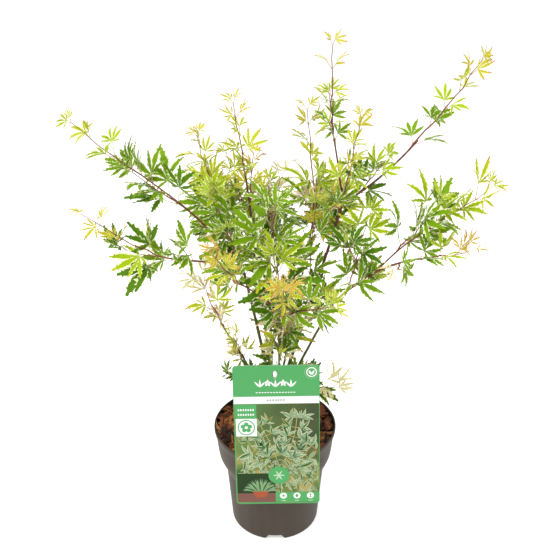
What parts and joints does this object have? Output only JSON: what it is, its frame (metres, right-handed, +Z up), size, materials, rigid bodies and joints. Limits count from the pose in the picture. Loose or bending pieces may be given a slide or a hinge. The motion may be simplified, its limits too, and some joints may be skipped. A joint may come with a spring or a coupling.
{
  "type": "potted japanese maple",
  "caption": "Young many-stemmed garden maple with narrow-lobed, cream-edged leaves, standing in a plastic nursery pot with bark mulch and a plain picture label.",
  "frame": {"origin": "centre of the pot's flat underside", "axes": "+Z up along the pot's axis, -Y towards the picture label, +X to the label's right"},
  "size_m": [0.5701, 0.438, 0.775],
  "materials": {
    "pot_plastic": "matte",
    "compost": "matte",
    "bark_mulch": "matte",
    "label_print": "satin",
    "stake_plastic": "satin",
    "stem_bark": "satin",
    "young_bark": "satin",
    "leaf_green": "satin",
    "leaf_fresh": "satin",
    "leaf_young": "satin",
    "leaf_cream": "satin"
  },
  "bodies": {
    "root": {"bark_mulch": "bark_mulch", "bough_back_left": "young_bark", "bough_back_right": "young_bark", "bough_front_left": "young_bark", "bough_front_right": "young_bark", "bough_left_high": "young_bark", "bough_left_mid": "young_bark", "bough_right_high": "young_bark", "bough_right_low": "young_bark", "bough_right_mid": "young_bark", "bough_top_left": "young_bark", "compost": "compost", "label_card": "label_print", "label_stake": "stake_plastic", "leader": "young_bark", "leaves_back_centre": "leaf_green", "leaves_back_left": "leaf_green", "leaves_back_right": "leaf_green", "leaves_front_centre": "leaf_young", "leaves_front_left": "leaf_young", "leaves_front_right": "leaf_fresh", "leaves_heart_back": "leaf_green", "leaves_heart_front": "leaf_green", "leaves_heart_left": "leaf_green", "leaves_heart_right": "leaf_green", "leaves_leader_middle": "leaf_fresh", "leaves_leader_tip": "leaf_young", "leaves_left_foot": "leaf_cream", "leaves_left_high_inner": "leaf_green", "leaves_left_high_outer": "leaf_fresh", "leaves_left_low": "leaf_cream", "leaves_left_mid_inner": "leaf_green", "leaves_left_mid_outer": "leaf_young", "leaves_left_sprig": "leaf_cream", "leaves_lower_back": "leaf_cream", "leaves_lower_middle": "leaf_cream", "leaves_right_high_inner": "leaf_green", "leaves_right_high_outer": "leaf_fresh", "leaves_right_inner": "leaf_green", "leaves_right_low_drop": "leaf_green", "leaves_right_low_outer": "leaf_young", "leaves_right_mid_inner": "leaf_green", "leaves_right_mid_outer": "leaf_fresh", "leaves_rim_sprig": "leaf_cream", "leaves_top_centre_a": "leaf_fresh", "leaves_top_centre_b": "leaf_young", "leaves_top_left_a": "leaf_young", "leaves_top_left_b": "leaf_fresh", "leaves_top_left_c": "leaf_young", "leaves_top_left_tall": "leaf_fresh", "pot": "pot_plastic", "stem_back": "stem_bark", "stem_centre": "stem_bark", "stem_front": "stem_bark", "stem_left": "stem_bark", "stem_low_left": "stem_bark", "stem_low_right": "stem_bark", "stem_mid_left": "stem_bark", "stem_right": "stem_bark", "trunk": "stem_bark"}
  },
  "joints": []
}
